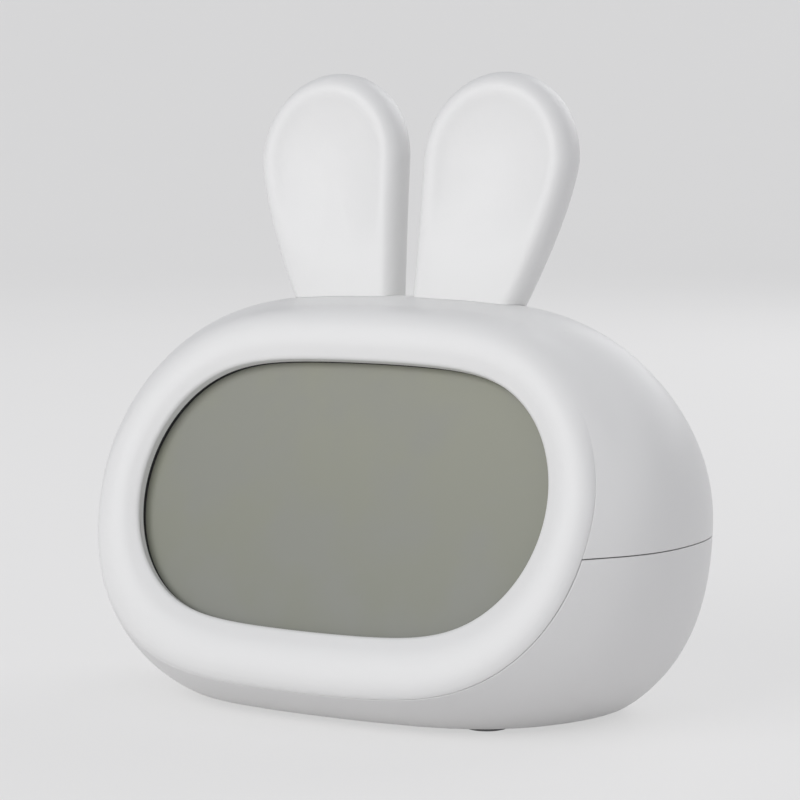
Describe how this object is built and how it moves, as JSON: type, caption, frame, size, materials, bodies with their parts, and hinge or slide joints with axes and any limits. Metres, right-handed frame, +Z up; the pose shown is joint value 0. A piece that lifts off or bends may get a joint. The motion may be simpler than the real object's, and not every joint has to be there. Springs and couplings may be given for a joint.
{
  "type": "kids alarm clock with night light",
  "caption": "Rounded white table clock with a leaning racetrack-shaped backlit display in a fat rim, two tall hollow ears on top, keys, sounder and cell door at the back.",
  "frame": {"origin": "on the table, under the middle of the clock's bounding box", "axes": "+Z up, -Y out of the display, +X to the right of someone facing the display"},
  "size_m": [0.1622, 0.0877, 0.1574],
  "materials": {
    "board_green": "soldermask",
    "can_metal": "drawn can",
    "cell_sleeve": "plain printed sleeve",
    "chip_black": "matte black",
    "connector_plastic": "cream",
    "display_film": "matte grey-green film",
    "display_glass": "clear thin glass",
    "foot_rubber": "matte",
    "frame_plastic": "matte white",
    "gasket_foam": "soft black foam",
    "key_plastic": "satin moulded plastic",
    "led_white": "lamp body",
    "light_guide_acrylic": "clear moulded acrylic",
    "screw_steel": "zinc plated",
    "shell_plastic": "fine satin moulded white plastic",
    "speaker_paper": "pressed paper",
    "spring_steel": "nickel plated",
    "white_film": "matte white film",
    "wire_black": "insulation",
    "wire_grey": "insulation",
    "wire_red": "insulation",
    "zebra_rubber": "striped soft strip"
  },
  "bodies": {
    "housing": {"backlight_boards": "board_green", "backlight_leds": "led_white", "battery_cells": "cell_sleeve", "battery_contacts": "spring_steel", "battery_springs": "spring_steel", "battery_wires": "wire_red", "board_connectors": "connector_plastic", "capacitors": "can_metal", "case_screws": "screw_steel", "clock_chip": "chip_black", "diffuser_film": "white_film", "display_frame": "frame_plastic", "display_frame_screws": "screw_steel", "display_gasket": "gasket_foam", "ear_screws": "screw_steel", "front_polariser": "display_film", "key_board": "board_green", "key_board_screws": "screw_steel", "key_wires": "wire_grey", "lcd_front_glass": "display_glass", "lcd_rear_glass": "display_glass", "left_ear": "shell_plastic", "light_guide": "light_guide_acrylic", "lower_shell": "shell_plastic", "main_board": "board_green", "main_board_screws": "screw_steel", "quartz_crystal": "can_metal", "rear_polariser": "display_film", "reflector_film": "white_film", "right_ear": "shell_plastic", "rubber_feet": "foot_rubber", "slide_switch": "can_metal", "speaker_basket": "can_metal", "speaker_cone": "speaker_paper", "speaker_magnet": "can_metal", "speaker_wires": "wire_black", "tact_switches": "chip_black", "upper_shell": "shell_plastic", "zebra_strip": "zebra_rubber"},
    "snooze_light_button": {"snooze_light_button": "key_plastic"},
    "mode_button": {"mode_button": "key_plastic"},
    "set_button": {"set_button": "key_plastic"},
    "up_button": {"up_button": "key_plastic"},
    "down_button": {"down_button": "key_plastic"},
    "alarm_switch_knob": {"alarm_switch_knob": "key_plastic"},
    "battery_door": {"battery_door": "shell_plastic"}
  },
  "joints": [
    {"name": "snooze_light_button_press", "type": "slide", "parent": "housing", "child": "snooze_light_button", "axis": [0, -1, 0], "range_m": [0, 0.0006], "stiffness_N_per_m": 900},
    {"name": "mode_button_press", "type": "slide", "parent": "housing", "child": "mode_button", "axis": [0, -1, 0], "range_m": [0, 0.0006], "stiffness_N_per_m": 600},
    {"name": "set_button_press", "type": "slide", "parent": "housing", "child": "set_button", "axis": [0, -1, 0], "range_m": [0, 0.0006], "stiffness_N_per_m": 600},
    {"name": "up_button_press", "type": "slide", "parent": "housing", "child": "up_button", "axis": [0, -1, 0], "range_m": [0, 0.0006], "stiffness_N_per_m": 600},
    {"name": "down_button_press", "type": "slide", "parent": "housing", "child": "down_button", "axis": [0, -1, 0], "range_m": [0, 0.0006], "stiffness_N_per_m": 600},
    {"name": "alarm_switch_slide", "type": "slide", "parent": "housing", "child": "alarm_switch_knob", "axis": [1, 0, 0], "range_m": [-0.0015, 0.0015]},
    {"name": "battery_door_swing", "type": "hinge", "parent": "housing", "child": "battery_door", "pos_m": [0, 0.0435, 0.016], "axis": [-1, 0, 0], "range_deg": [0, 60]}
  ]
}
